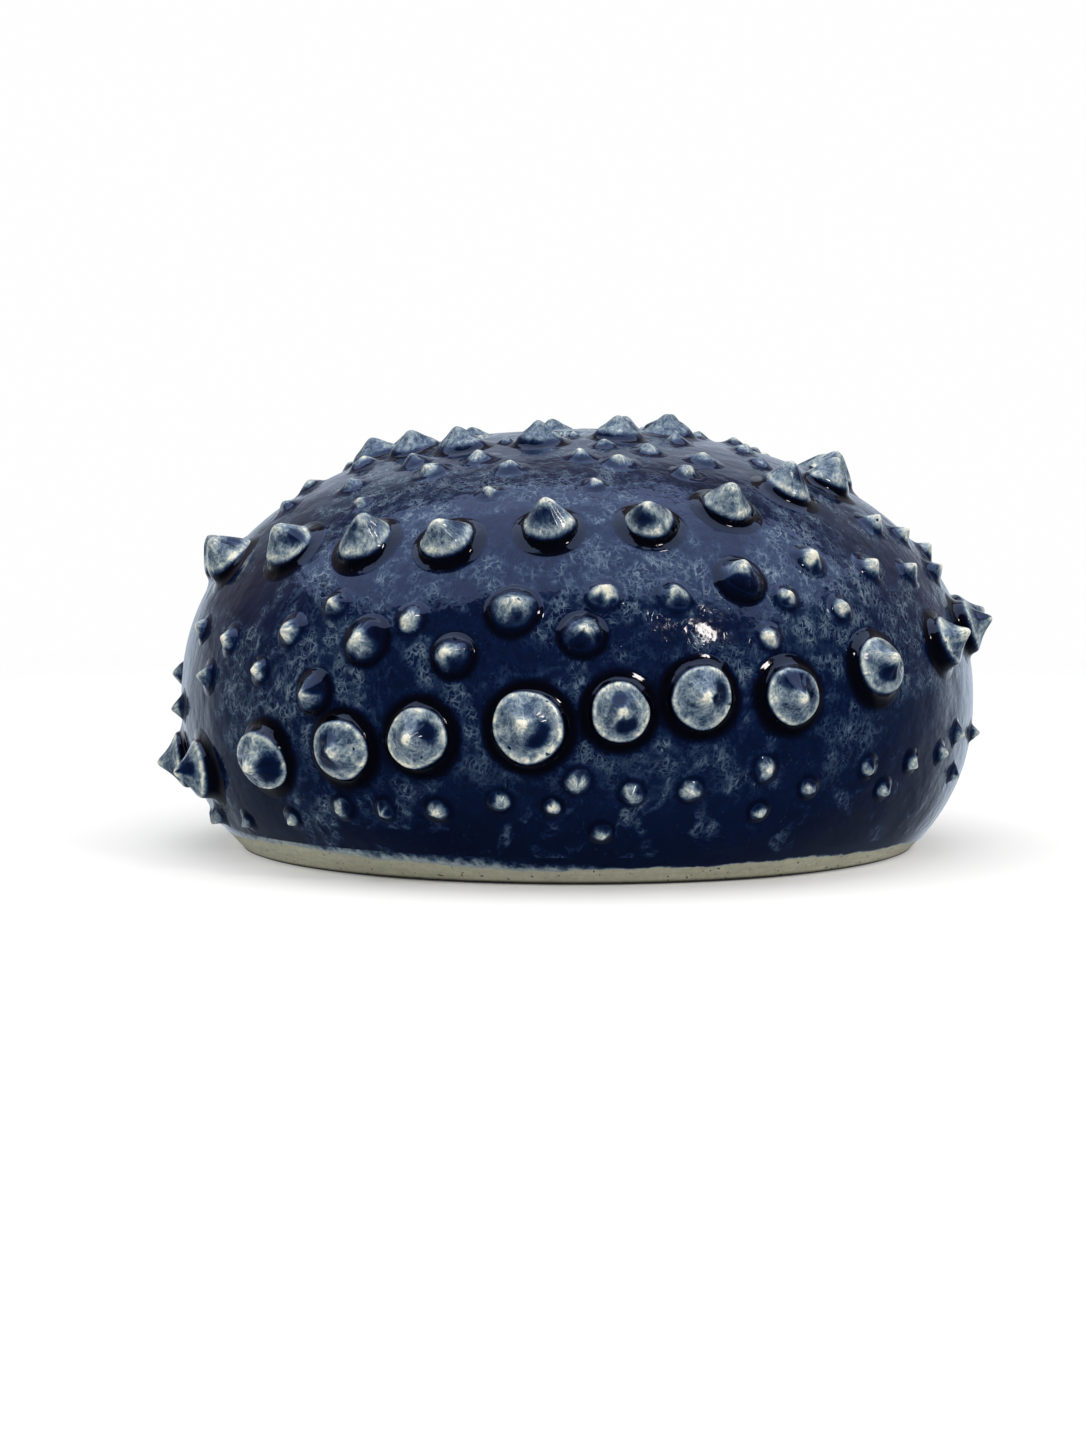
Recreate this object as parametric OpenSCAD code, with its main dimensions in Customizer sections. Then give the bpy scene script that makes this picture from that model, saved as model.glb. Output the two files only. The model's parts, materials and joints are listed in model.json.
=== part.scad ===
// Sea urchin flower frog: a hollow ceramic dome that stands on a flat slab,
// with stem holes in its crown and rows of clay tubercles luted to its outside.
// Millimetres, +Z up, origin at the centre of the flat underside.

/* [Dome] */
// Diameter of the dome at its widest, without tubercles
body_d = 140; // [110:1:170]
// Height of the crown above the table, without tubercles
body_h = 73.5; // [60:0.5:90]
// Height at which the dome is widest
widest_h = 26; // [20:1:32]
// Diameter of the flat underside
foot_d = 118; // [96:1:124]
// Fullness of the outline: 2 is an ellipse and more is squarer
fullness = 2.2; // [2:0.1:2.6]
// Thickness of the thrown wall
wall = 5; // [3.5:0.5:7]

/* [Base slab] */
// Thickness of the slab that closes the water chamber
slab_t = 5; // [3.5:0.5:8]
// Height of the worn chamfer round the underside
slab_edge = 0.8; // [0.4:0.1:1.5]

/* [Stem holes] */
// Diameter of the filling and stem hole at the crown's pole
centre_hole_d = 12; // [8:0.5:14]
// Diameter of each stem hole in the ring
ring_hole_d = 8; // [5:0.5:8.5]
// Stem holes in the ring
ring_hole_count = 5; // [4:1:6]
// Diameter of the circle that the ring's holes stand on
ring_hole_pcd = 28; // [24:1:30]

/* [Tubercles] */
// Lean of the rows of tubercles, in degrees
row_lean = 10; // [0:1:12]
// Bearing that the rows lean towards, in degrees from the front
lean_bearing = -100; // [-120:5:-60]
// Diameter of a large tubercle's pad on the belly
belly_pad_d = 10.4; // [8:0.2:12]
// Diameter of a large tubercle's pad on the shoulder
shoulder_pad_d = 9; // [7:0.2:11]
// Diameter of a large tubercle's pad on the crown
crown_pad_d = 8.6; // [7:0.2:9.2]
// Diameter of a medium tubercle's pad
medium_pad_d = 6.6; // [5:0.2:7.4]
// Diameter of a small bump
bump_d = 4.4; // [3:0.2:5]
// Height of a large tubercle above the dome, tip included
pad_h = 5.6; // [4:0.2:7]
// Height of a small bump, as a share of its diameter
bump_rise = 0.5; // [0.3:0.05:0.7]

/* [Hidden] */

GLAZE = [0.06, 0.11, 0.24];
THIN_GLAZE = [0.50, 0.58, 0.66];
CREAM = [0.72, 0.72, 0.62];
BARE_CLAY = [0.60, 0.60, 0.54];

body_r = body_d / 2;
foot_r = foot_d / 2;
// Half heights of the outline above and below its widest level
rise = body_h - widest_h;
fall = widest_h / pow(1 - pow(foot_r / body_r, fullness), 1 / fullness);
// Steps in the outline's quarter above the widest level, and smoothness of what is round
outline_steps = 18;
round_fn = 96;
// How far a tubercle reaches below its seat before the dome's outside trims it
seat_depth = 1.2;
hole_overrun = 3;
// Size of the fine bumps round the stem holes, as a share of a small bump
stem_bump_share = 0.55;
// Clay left between the ring of stem holes and the bumps and cones round it
stem_bump_margin = 1;
crown_margin = 2.6;
// Heights of the crown's and the medium tubercles, as shares of a large one's
crown_share = 0.8;
medium_share = 0.6;

// ---- Outline of the dome --------------------------------------------------

// Radius of a superellipse of half width r and half height h, at a height z
function arch_radius(z, r, h) = r * pow(max(0, 1 - pow(abs(z) / h, fullness)), 1 / fullness);
// Point of the upper outline, t from 0 at the widest level to 90 at the axis
function arch_point(t, r, h) =
    [r * pow(max(0, cos(t)), 2 / fullness), widest_h + h * pow(max(0, sin(t)), 2 / fullness)];

// Radius of the outside at a height below the widest level
function skirt_radius(z) = arch_radius(widest_h - z, body_r, fall);

// Outlines are lists of [radius, height], from the bottom up
slab_outline = [
    [foot_r - slab_edge, 0], [skirt_radius(slab_edge), slab_edge],
    [skirt_radius(slab_t / 2), slab_t / 2], [skirt_radius(slab_t), slab_t]
];
outside_outline = concat(
    [for (i = [0 : 6]) let (z = slab_t + (widest_h - slab_t) * i / 6) [skirt_radius(z), z]],
    [for (i = [1 : outline_steps - 1]) arch_point(90 * i / outline_steps, body_r, rise)],
    [[0, body_h]]
);
inside_outline = concat(
    [for (i = [0 : 4]) let (z = slab_t + (widest_h - slab_t) * i / 4) [skirt_radius(z) - wall, z]],
    [for (i = [1 : outline_steps - 1]) arch_point(90 * i / outline_steps, body_r - wall, rise - wall)],
    [[0, body_h - wall]]
);

// The slab and the dome together, with the chamber filled in
module filled_dome() {
    rotate_extrude($fn = round_fn)
        polygon(concat([[0, 0]], slab_outline, outside_outline));
}

// ---- Seats of the tubercles -----------------------------------------------

function unit(v) = v / norm(v);
// The leaning pattern's pole, and the ways to its front and its right
up_way = [
    sin(row_lean) * sin(lean_bearing), -sin(row_lean) * cos(lean_bearing), cos(row_lean)
];
front_way = unit([0, -1, 0] + up_way.y * up_way);
right_way = cross(up_way, front_way);
// Direction of a latitude and bearing in the leaning pattern, seen from the middle
// of the widest level. Bearing 0 faces the front and 90 the right.
function pattern_direction(latitude, bearing) =
    cos(latitude) * (cos(bearing) * front_way + sin(bearing) * right_way) + sin(latitude) * up_way;

// Angle between the pole and a circle of a radius round it, from the same middle
function pole_angle(radius) = atan2(radius, arch_radius(radius, rise, body_r));

// Where that direction meets the outside of the dome
function seat(latitude, bearing) =
    let (
        d = pattern_direction(latitude, bearing),
        h = d.z < 0 ? fall : rise,
        out = norm([d.x, d.y]) / body_r,
        reach = pow(pow(out, fullness) + pow(abs(d.z) / h, fullness), -1 / fullness)
    )
    [reach * d.x, reach * d.y, widest_h + reach * d.z];

// Tilt of the outside's normal from vertical at a seat
function seat_tilt(p) =
    let (z = p.z - widest_h, h = z < 0 ? fall : rise)
    atan2(
        pow(norm([p.x, p.y]) / body_r, fullness - 1) / body_r,
        sign(z) * pow(abs(z) / h, fullness - 1) / h
    );

module on_seat(latitude, bearing) {
    p = seat(latitude, bearing);
    translate(p) rotate([0, seat_tilt(p), atan2(p.y, p.x)]) children();
}

// ---- Tubercle shapes, each standing on +Z ---------------------------------

// A thick pad with a crisp rim, and a hollow-sided cone on it that ends in a blunt tip
module pad_tubercle(d, h) {
    r = d / 2;
    rotate_extrude($fn = round_fn)
        polygon([
            [0, -seat_depth], [0.92 * r, -seat_depth], [0.92 * r, 0.12 * h],
            [r, 0.40 * h], [0.95 * r, 0.47 * h], [0.66 * r, 0.58 * h],
            [0.40 * r, 0.74 * h], [0.25 * r, 0.93 * h], [0.14 * r, h], [0, h]
        ]);
}

// A plain round bump that was pinched to a point. It is so small that its foot is flat.
module bump_tubercle(d, h) {
    r = d / 2;
    rotate_extrude($fn = round_fn)
        polygon([
            [0, 0], [r, 0], [r, 0.08 * h], [0.82 * r, 0.32 * h],
            [0.58 * r, 0.66 * h], [0.36 * r, 0.92 * h], [0.18 * r, h], [0, h]
        ]);
}

// Rows hold [latitude, bearing, share of the row's diameter d] for each tubercle.
// A pad is wide enough that its foot is hollowed to the dome it is luted on.
module pad_row(row, d, h) {
    difference() {
        for (t = row) on_seat(t[0], t[1]) pad_tubercle(t[2] * d, h);
        filled_dome();
    }
}

module bump_row(row) {
    for (t = row)
        let (d = t[2] * bump_d)
            on_seat(t[0], t[1]) bump_tubercle(d, bump_rise * d);
}

// ---- Rows -----------------------------------------------------------------

shoulder_latitude = 30;
// The rows of the crown keep clear of the stem holes
stem_holes_r = (ring_hole_pcd + ring_hole_d) / 2;
stem_ring_latitude = 90 - pole_angle(stem_holes_r + stem_bump_margin + stem_bump_share * bump_d / 2);
crown_latitude = 90 - pole_angle(stem_holes_r + crown_margin + crown_pad_d / 2);

// The maker pressed every tubercle on by eye, so a row wanders and its sizes differ.
// What is set out on the front is repeated on the back, turned half way round.
function front_and_back(motif) =
    [for (turn = [0, 180]) for (t = motif) [t[0], t[1] + turn, t[2]]];
// Low rows are mirrored instead, so that they stay clear of the foot at the low side.
function mirrored_back(motif) = concat(motif, [for (t = motif) [t[0], 180 - t[1], t[2]]]);
// A row whose latitudes are counted from a ring's
function raised(latitude, row) = [for (t = row) [latitude + t[0], t[1], t[2]]];
// A row whose latitudes are hundredths of the way from the shoulder ring to the crown ring
function between(row) = [for (t = row) [
    shoulder_latitude + t[0] / 100 * (crown_latitude - shoulder_latitude), t[1], t[2]
]];
// A ring that is even but for a stray of so many degrees and a share of diameter
function loose_ring(latitude, count, first, share, stray, seed) =
    let (r = rands(-1, 1, 3 * count, seed))
    [for (i = [0 : count - 1]) [
        latitude + 0.5 * stray * r[3 * i],
        first + 360 / count * i + stray * r[3 * i + 1],
        share * (1 + 0.1 * r[3 * i + 2])
    ]];

belly_large = front_and_back([
    [1, -85, 1], [0, -68, 1], [1, -48, 1], [1, -33, 1], [1, -21, 1], [0, -6, 1.15],
    [0, 6, 0.95], [0, 17, 1.02], [-2, 30, 0.95], [-1, 46, 0.97], [0, 65, 0.85], [1, 80, 0.95]
]);
shoulder_large = raised(shoulder_latitude, front_and_back([
    [1, -89, 0.95], [1, -72, 1], [2, -50, 1.05], [1, -32, 1.05], [-1, -16, 1],
    [-1, 1, 0.95], [-3, 18, 0.95], [-2, 34, 1], [0, 53, 1], [0, 72, 0.95]
]));
crown_large = raised(crown_latitude, [
    [-1, -87, 1], [2, -57, 1], [2, -30, 1], [2, 4, 0.95], [1, 40, 1], [-1, 74, 1.05],
    [-1, 107, 1], [0, 140, 0.95], [1, 172, 1], [0, 205, 1], [0, 239, 0.95]
]);
belly_medium = front_and_back([
    [9, -37, 0.9], [15, -28, 1.05], [11, -15, 0.9], [16, -6, 1.1], [11, 3, 0.95], [15, 28, 1.1]
]);
upper_belly = front_and_back([
    [20, -69, 0.9], [18, -57, 1], [18, -42, 1.05], [21, -34, 1], [17, -21, 1.05],
    [16, 7, 1.2], [14, 17, 1.15], [16, 42, 1.1], [11, 34, 0.9], [8, 43, 0.9],
    [13, 54, 1.1], [11, 65, 0.95], [20, 67, 1.1], [17, 76, 1], [13, 88, 1]
]);
lower_belly = front_and_back([
    [9, -78, 1], [13, -63, 1], [13, -48, 0.85], [6, 29, 0.9], [10, 78, 1]
]);
skirt = mirrored_back([
    [-8, -82, 0.7], [-7, -72, 0.9], [-8, -60, 0.7], [-8, -47, 0.7], [-7, -36, 0.85],
    [-8, -29, 0.8], [-9, -21, 0.85], [-9, -12, 0.85], [-8, -1, 1], [-11, 6, 0.9],
    [-12, 14, 0.9], [-11, 25, 0.95], [-15, 32, 0.75], [-14, 43, 0.8], [-15, 53, 0.75],
    [-15, 62, 0.75], [-13, 68, 0.8], [-14, 80, 0.75]
]);
foot = mirrored_back([
    [-11, -5, 0.65], [-16, 1, 0.75], [-17, 24, 0.7], [-18, 47, 0.75], [-19, 70, 0.7]
]);
shoulder_small = between(front_and_back([
    [39, -71, 0.9], [36, -40, 0.7], [32, -10, 0.7], [29, 12, 0.7], [29, 35, 0.9], [29, 62, 0.8]
]));
lower_crown = between(front_and_back([
    [58, -84, 0.9], [55, -51, 1], [64, -28, 1], [58, -6, 0.9], [67, 14, 0.9],
    [51, 22, 1], [64, 35, 0.9], [42, 45, 1], [48, 73, 0.9]
]));
// The fine bumps of the crown stand in the gaps between its cones
upper_crown = between([
    [84, -68, 1.05], [81, -40, 1], [78, -16, 1], [83, 25, 0.8], [78, 56, 0.9], [81, 91, 0.8],
    [81, 124, 1], [81, 156, 0.9], [78, 189, 1], [81, 222, 0.9], [78, 256, 1]
]);
stem_ring = loose_ring(stem_ring_latitude, len(crown_large), 22, stem_bump_share, 1.5, 97);

// ---- Pieces ---------------------------------------------------------------

// The pole of the leaning pattern, which the stem holes are pierced round
pole = seat(90, 0);

// The piercing tool goes straight down into the empty chamber, to the widest level
module stem_holes() {
    reach = rise + hole_overrun;
    translate([pole.x, pole.y, widest_h]) {
        cylinder(h = reach, d = centre_hole_d, $fn = round_fn);
        for (i = [0 : ring_hole_count - 1])
            rotate([0, 0, 360 / ring_hole_count * i])
                translate([ring_hole_pcd / 2, 0, 0])
                    cylinder(h = reach, d = ring_hole_d, $fn = round_fn);
    }
}

module dome_shell() {
    downwards = [for (i = [len(inside_outline) - 1 : -1 : 0]) inside_outline[i]];
    color(GLAZE)
        difference() {
            rotate_extrude($fn = round_fn) polygon(concat(outside_outline, downwards));
            stem_holes();
        }
}

module base_slab() {
    color(BARE_CLAY)
        rotate_extrude($fn = round_fn) polygon(concat([[0, 0]], slab_outline, [[0, slab_t]]));
}

module belly_large_tubercles() {
    color(THIN_GLAZE) pad_row(belly_large, belly_pad_d, pad_h);
}

module shoulder_large_tubercles() {
    color(THIN_GLAZE) pad_row(shoulder_large, shoulder_pad_d, pad_h);
}

// The crown's cones are broader and lower
module crown_large_tubercles() {
    color(THIN_GLAZE) pad_row(crown_large, crown_pad_d, crown_share * pad_h);
}

module belly_medium_tubercles() {
    color(THIN_GLAZE) pad_row(belly_medium, medium_pad_d, medium_share * pad_h);
}

module upper_belly_bumps() {
    color(CREAM) bump_row(upper_belly);
}

module lower_belly_bumps() {
    color(CREAM) bump_row(lower_belly);
}

module skirt_bumps() {
    color(CREAM) bump_row(skirt);
}

module foot_bumps() {
    color(CREAM) bump_row(foot);
}

module shoulder_bumps() {
    color(CREAM) bump_row(shoulder_small);
}

module lower_crown_bumps() {
    color(CREAM) bump_row(lower_crown);
}

module upper_crown_bumps() {
    color(CREAM) bump_row(upper_crown);
}

module stem_ring_bumps() {
    color(CREAM) bump_row(stem_ring);
}

dome_shell();
base_slab();
belly_large_tubercles();
shoulder_large_tubercles();
crown_large_tubercles();
belly_medium_tubercles();
upper_belly_bumps();
lower_belly_bumps();
skirt_bumps();
foot_bumps();
shoulder_bumps();
lower_crown_bumps();
upper_crown_bumps();
stem_ring_bumps();
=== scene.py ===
# %% [markdown]
# # A sea urchin flower frog in cobalt glaze
#
# A flower frog holds cut stems upright. This one is a thrown dome of clay on a flat slab. Six
# stem holes are pierced in its crown, and rows of small clay tubercles are pressed on its
# outside, as on the shell of a sea urchin. A cobalt glaze runs off every edge and tip, where it
# is thin and pale, and gathers in every hollow, where it is nearly black.
#
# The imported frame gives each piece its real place. Everything here is in metres, +Z is up, and
# the origin is the middle of the flat underside.

import json
import math

import bpy
import numpy as np
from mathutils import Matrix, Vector


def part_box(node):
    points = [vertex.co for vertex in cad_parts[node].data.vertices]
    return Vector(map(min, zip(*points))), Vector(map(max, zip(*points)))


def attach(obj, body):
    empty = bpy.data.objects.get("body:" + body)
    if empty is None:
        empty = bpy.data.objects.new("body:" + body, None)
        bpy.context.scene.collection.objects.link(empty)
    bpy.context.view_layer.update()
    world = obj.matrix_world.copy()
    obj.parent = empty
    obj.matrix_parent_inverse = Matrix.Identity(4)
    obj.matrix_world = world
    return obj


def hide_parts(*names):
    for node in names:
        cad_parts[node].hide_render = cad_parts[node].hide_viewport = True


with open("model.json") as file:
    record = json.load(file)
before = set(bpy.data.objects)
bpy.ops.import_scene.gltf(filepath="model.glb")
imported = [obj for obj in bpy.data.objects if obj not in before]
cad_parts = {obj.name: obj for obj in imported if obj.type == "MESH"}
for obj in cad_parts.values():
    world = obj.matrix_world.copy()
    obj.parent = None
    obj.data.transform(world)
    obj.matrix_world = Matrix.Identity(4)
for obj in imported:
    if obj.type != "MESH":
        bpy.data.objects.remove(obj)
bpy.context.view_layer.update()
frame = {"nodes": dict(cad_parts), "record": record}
MM = 0.001
TAU = 2 * math.pi
print("nodes in the frame:", len(frame["nodes"]))

# %% [markdown]
# ## Measuring the dome
#
# The dome's outline is a rounded curve that is a little squarer than an ellipse. Its numbers
# could be typed in again, but then they might drift from the frame, so they are measured on the
# frame's own meshes: the widest radius, the level where it is widest, the crown and the foot.

# %% The numbers of the outline
FULLNESS = 2.2
SAME = 0.01 * MM  # radii and levels closer than this are one


def points_of(mesh):
    flat = np.empty(3 * len(mesh.vertices))
    mesh.vertices.foreach_get("co", flat)
    return flat.reshape(-1, 3)


shell = points_of(frame["nodes"]["dome_shell"].data)
shell_r = np.hypot(shell[:, 0], shell[:, 1])
dome_r = shell_r.max()
widest_z = shell[shell_r > dome_r - SAME][:, 2].mean()
crown_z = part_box("dome_shell")[1].z
slab_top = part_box("base_slab")[1].z
rim_r = shell_r[shell[:, 2] < slab_top + SAME]
joint_r = rim_r.max()
wall = joint_r - rim_r.min()
rise = crown_z - widest_z
fall = (widest_z - slab_top) / (1 - (joint_r / dome_r) ** FULLNESS) ** (1 / FULLNESS)
print(f"dome: radius {dome_r / MM:.1f} mm, widest at {widest_z / MM:.1f} mm, wall {wall / MM:.1f} mm")
print(f"half heights: {rise / MM:.2f} mm above the widest level, {fall / MM:.2f} mm below")


# %% [markdown]
# Two facts about the outline are used again and again: how far out the surface is at a height,
# and which way it faces at a point. Both follow from one formula, so they are two functions.

# %% Where the dome's outside is, and which way it faces
def half_height(z):
    return np.where(z >= widest_z, rise, fall)


def outline_radius(z):
    share = np.abs(z - widest_z) / half_height(z)
    return dome_r * np.maximum(0, 1 - share ** FULLNESS) ** (1 / FULLNESS)


def girth(p):
    """1 on the outside of the dome, less inside it and more beyond it."""
    out = np.hypot(p[..., 0], p[..., 1]) / dome_r
    up = np.abs(p[..., 2] - widest_z) / half_height(p[..., 2])
    return (out ** FULLNESS + up ** FULLNESS) ** (1 / FULLNESS)


def slope_of_girth(p):
    out = np.maximum(np.hypot(p[..., 0], p[..., 1]), 1e-9)
    dz = p[..., 2] - widest_z
    h = half_height(p[..., 2])
    side = out ** (FULLNESS - 2) / dome_r ** FULLNESS
    up = np.sign(dz) * np.abs(dz) ** (FULLNESS - 1) / h ** FULLNESS
    g = np.stack([side * p[..., 0], side * p[..., 1], up], axis=-1)
    return g * girth(p)[..., None] ** (1 - FULLNESS)


def facing(p):
    g = slope_of_girth(p)
    return g / np.linalg.norm(g, axis=-1, keepdims=True)


def drop_to_dome(p, way):
    """Moves points along a direction until they lie on the outside of the dome."""
    for _ in range(6):
        step = (1 - girth(p)) / (slope_of_girth(p) @ way)
        p = p + step[..., None] * way
    return p


print("check, girth at the joint:", round(float(girth(np.array([joint_r, 0, slab_top]))), 4))


# %% [markdown]
# ## Finding the seats of the tubercles
#
# A potter presses some two hundred tubercles on by eye. The frame already has a plain solid for
# each one, so their seats are read off those solids instead of being listed again. One node
# holds a whole row. Its corners are merged, its solids are told apart by which corners share a
# triangle, and each solid's own centre lies on the tubercle's axis.

# %% Telling the solids of a row apart
CORNER = 0.001  # mm: corners this close are one


def solids_of(node):
    mesh = frame["nodes"][node].data
    mesh.calc_loop_triangles()
    corners = np.empty(3 * len(mesh.loop_triangles), np.int64)
    mesh.loop_triangles.foreach_get("vertices", corners)
    points, merged = np.unique(np.round(points_of(mesh) / (CORNER * MM)), axis=0, return_inverse=True)
    triangles = merged.reshape(-1)[corners].reshape(-1, 3)
    label = np.arange(len(points))
    while True:
        lowest = label[triangles].min(axis=1)
        before = label.copy()
        for k in range(3):
            np.minimum.at(label, triangles[:, k], lowest)
        label = label[label]
        if (label == before).all():
            break
    points = points * CORNER * MM
    owner = label[triangles[:, 0]]
    return [(points, triangles[owner == one]) for one in np.unique(owner)]


def middle_of(points, triangles):
    """Centre of a closed solid, from the small pyramids under its triangles."""
    a, b, c = (points[triangles[:, k]] for k in range(3))
    here = a.mean(axis=0)
    parts = np.einsum("ij,ij->i", a - here, np.cross(b - here, c - here))
    return here + ((a + b + c - 3 * here) / 4 * parts[:, None]).sum(axis=0) / parts.sum()


# %% [markdown]
# A seat keeps where the tubercle stands, three directions (right, uphill and outwards) and the
# solid's own radius and height. The foot of the axis is found by stepping back to the dome
# along the way the dome faces, a few times over.

# %% Reading the seats
class Seat:
    def __init__(self, points, triangles):
        middle = middle_of(points, triangles)
        self.at = middle
        for _ in range(8):
            self.out = facing(self.at)
            self.at = drop_to_dome(middle, self.out)
        self.out = facing(self.at)
        uphill = np.array([0, 0, 1.0]) - self.out[2] * self.out
        self.up = uphill / np.linalg.norm(uphill)
        self.right = np.cross(self.up, self.out)
        arms = points[np.unique(triangles)] - self.at
        self.tall = (arms @ self.out).max()
        self.radius = np.linalg.norm(arms - (arms @ self.out)[:, None] * self.out, axis=1).max()


rows = {}
for node in sorted(frame["nodes"]):
    if node not in ("dome_shell", "base_slab"):
        rows[node] = [Seat(*solid) for solid in solids_of(node)]
        print(f"{node}: {len(rows[node])} seats, radius {rows[node][0].radius / MM:.1f} mm,",
              f"height {rows[node][0].tall / MM:.1f} mm")


# %% [markdown]
# ## Hand tools for shaping
#
# Round things are made in two ways here. A body of revolution, such as the dome, is an outline
# that is dragged out corner by corner and then spun round the axis, as a template is on a
# wheel. A small thing with a closed top, such as a tubercle, starts as a filled circle that is
# extruded upwards and resized ring by ring, as a coil pot is built.

# %% Clearing the hands and picking pieces up
def put_down():
    if bpy.context.object and bpy.context.object.mode != "OBJECT":
        bpy.ops.object.mode_set(mode="OBJECT")
    bpy.ops.object.select_all(action="DESELECT")


def pick_up(*pieces):
    put_down()
    for piece in pieces:
        piece.select_set(True)
    bpy.context.view_layer.objects.active = pieces[0]


# %% Dragging out an outline and spinning it
SEAM = 0.002 * MM


def spun(name, outline, around):
    """A solid of revolution from an outline of (radius, height) that is a loop or ends on the axis."""
    put_down()
    bpy.ops.mesh.primitive_plane_add(size=MM)
    piece = bpy.context.object
    piece.name = piece.data.name = name
    bpy.ops.object.mode_set(mode="EDIT")
    bpy.ops.mesh.select_all(action="SELECT")
    bpy.ops.mesh.merge(type="CENTER")
    bpy.ops.transform.translate(value=(outline[0][0], 0, outline[0][1]))
    for here, there in zip(outline, outline[1:]):
        step = (there[0] - here[0], 0, there[1] - here[1])
        bpy.ops.mesh.extrude_vertices_move(TRANSFORM_OT_translate={"value": step})
    bpy.ops.mesh.select_all(action="SELECT")
    bpy.ops.mesh.spin(steps=around, angle=TAU, center=(0, 0, 0), axis=(0, 0, 1))
    bpy.ops.mesh.select_all(action="SELECT")
    bpy.ops.mesh.remove_doubles(threshold=SEAM)
    bpy.ops.mesh.normals_make_consistent(inside=False)
    bpy.ops.object.mode_set(mode="OBJECT")
    return piece


# %% Building up rings from a filled circle
def coiled(name, rings, around):
    """A closed pile of (radius, height) rings."""
    put_down()
    bpy.ops.mesh.primitive_circle_add(vertices=around, radius=rings[0][0], fill_type="NGON")
    piece = bpy.context.object
    piece.name = piece.data.name = name
    bpy.ops.object.mode_set(mode="EDIT")
    bpy.ops.mesh.select_all(action="SELECT")
    bpy.ops.transform.translate(value=(0, 0, rings[0][1]))
    for here, there in zip(rings, rings[1:]):
        grow = there[0] / here[0]
        bpy.ops.mesh.extrude_region_move(TRANSFORM_OT_translate={"value": (0, 0, there[1] - here[1])})
        bpy.ops.transform.resize(value=(grow, grow, 1), center_override=(0, 0, there[1]))
    bpy.ops.mesh.poke()
    bpy.ops.mesh.select_all(action="SELECT")
    bpy.ops.mesh.normals_make_consistent(inside=False)
    bpy.ops.object.mode_set(mode="OBJECT")
    return piece


# %% [markdown]
# A profile is given by a few points, and a smooth curve runs through them. The third number of a
# point is how thin the glaze lies there, from 0 in a hollow to 1 on a tip, and it is carried
# along the curve in the same way.

# %% A smooth curve through a few points
def through(points, steps):
    """The points, with steps - 1 more between each two."""
    p = np.array(points, float)
    along = np.concatenate([[0], np.cumsum(np.linalg.norm(np.diff(p[:, :2], axis=0), axis=1))])
    slope = np.gradient(p, along, axis=0)
    curve = [p[0]]
    for i in range(len(p) - 1):
        length = along[i + 1] - along[i]
        for t in np.arange(1, steps + 1) / steps:
            curve.append((1 + 2 * t) * (1 - t) ** 2 * p[i] + t * (1 - t) ** 2 * length * slope[i]
                         + t * t * (3 - 2 * t) * p[i + 1] - t * t * (1 - t) * length * slope[i + 1])
    return np.array(curve)


# %% A soft step, and numbers written on points
def smooth_step(low, high, x):
    t = np.clip((x - low) / (high - low), 0, 1)
    return t * t * (3 - 2 * t)


def write_points(mesh, points):
    mesh.vertices.foreach_set("co", np.ascontiguousarray(points, np.float32).reshape(-1))
    mesh.update()


def write_value(mesh, name, values):
    layer = mesh.attributes.get(name) or mesh.attributes.new(name, "FLOAT", "POINT")
    layer.data.foreach_set("value", np.ascontiguousarray(values, np.float32))


def write_spots(mesh, name, spots):
    layer = mesh.attributes.get(name) or mesh.attributes.new(name, "FLOAT_VECTOR", "POINT")
    layer.data.foreach_set("vector", np.ascontiguousarray(spots, np.float32).reshape(-1))


def values_of(mesh, name):
    values = np.empty(len(mesh.vertices), np.float32)
    mesh.attributes[name].data.foreach_get("value", values)
    return values.astype(float)


# %% [markdown]
# ## The unevenness of the hand
#
# No thrown pot is perfectly round. The whole surface, with all that is luted on it, wanders by
# a fifth of a millimetre. One gentle function moves every piece in the same way, so nothing
# comes apart, and it only moves things inwards, so nothing grows past its real size.

# %% One soft dent field for every piece
DENT = 0.2 * MM


def dented(p):
    turn = np.arctan2(p[:, 1], p[:, 0])
    high = (p[:, 2] / crown_z)[:, None]
    wave = (np.sin(2 * turn + 0.7 + 2.0 * high[:, 0]) + 0.6 * np.sin(3 * turn - 1.9 - 3.1 * high[:, 0])
            + 0.4 * np.sin(5 * turn + 4.4 * high[:, 0] + 0.4))
    inwards = -facing(np.maximum(p, [-1, -1, 0.2 * MM]))
    depth = DENT * (0.5 + wave / 4)[:, None] * np.minimum(1, 4 * high)
    return p + inwards * depth


# %% Finishing a piece: dents, shading and its place in the frame
def finish_piece(piece, name, slot, *nodes, angle=50):
    """Edges that turn by less than the angle are shaded smooth."""
    pick_up(piece)
    piece.name = piece.data.name = name
    write_points(piece.data, dented(points_of(piece.data)))
    bpy.ops.object.shade_smooth_by_angle(angle=math.radians(angle))
    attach(piece, "root")
    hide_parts(*nodes)
    piece.data.calc_loop_triangles()
    print(f"{name}: {len(piece.data.loop_triangles)} triangles")
    return piece


# %% [markdown]
# ## The dome
#
# The dome was thrown on a wheel with a wall about 5 mm thick and open to the slab below. It
# could be half a sphere that is scaled and thickened, but then the outline would only be nearly
# right. Spinning the closed section of the wall gives the true outside, the true inside and the
# flat rim in one go. The outside has close rings, because the glaze's pools are drawn on them.

# %% Throwing the dome
AROUND_DOME = 360
SHOULDER_RINGS, BELLY_RINGS, INSIDE_RINGS = 84, 18, 30


def quarter(radius, half, count):
    """From the widest level to the crown, along a quarter of the outline."""
    t = np.linspace(0, math.pi / 2, count + 1)
    return [(radius * abs(math.cos(a)) ** (2 / FULLNESS), widest_z + half * math.sin(a) ** (2 / FULLNESS))
            for a in t[:-1]] + [(0, widest_z + half)]


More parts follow.
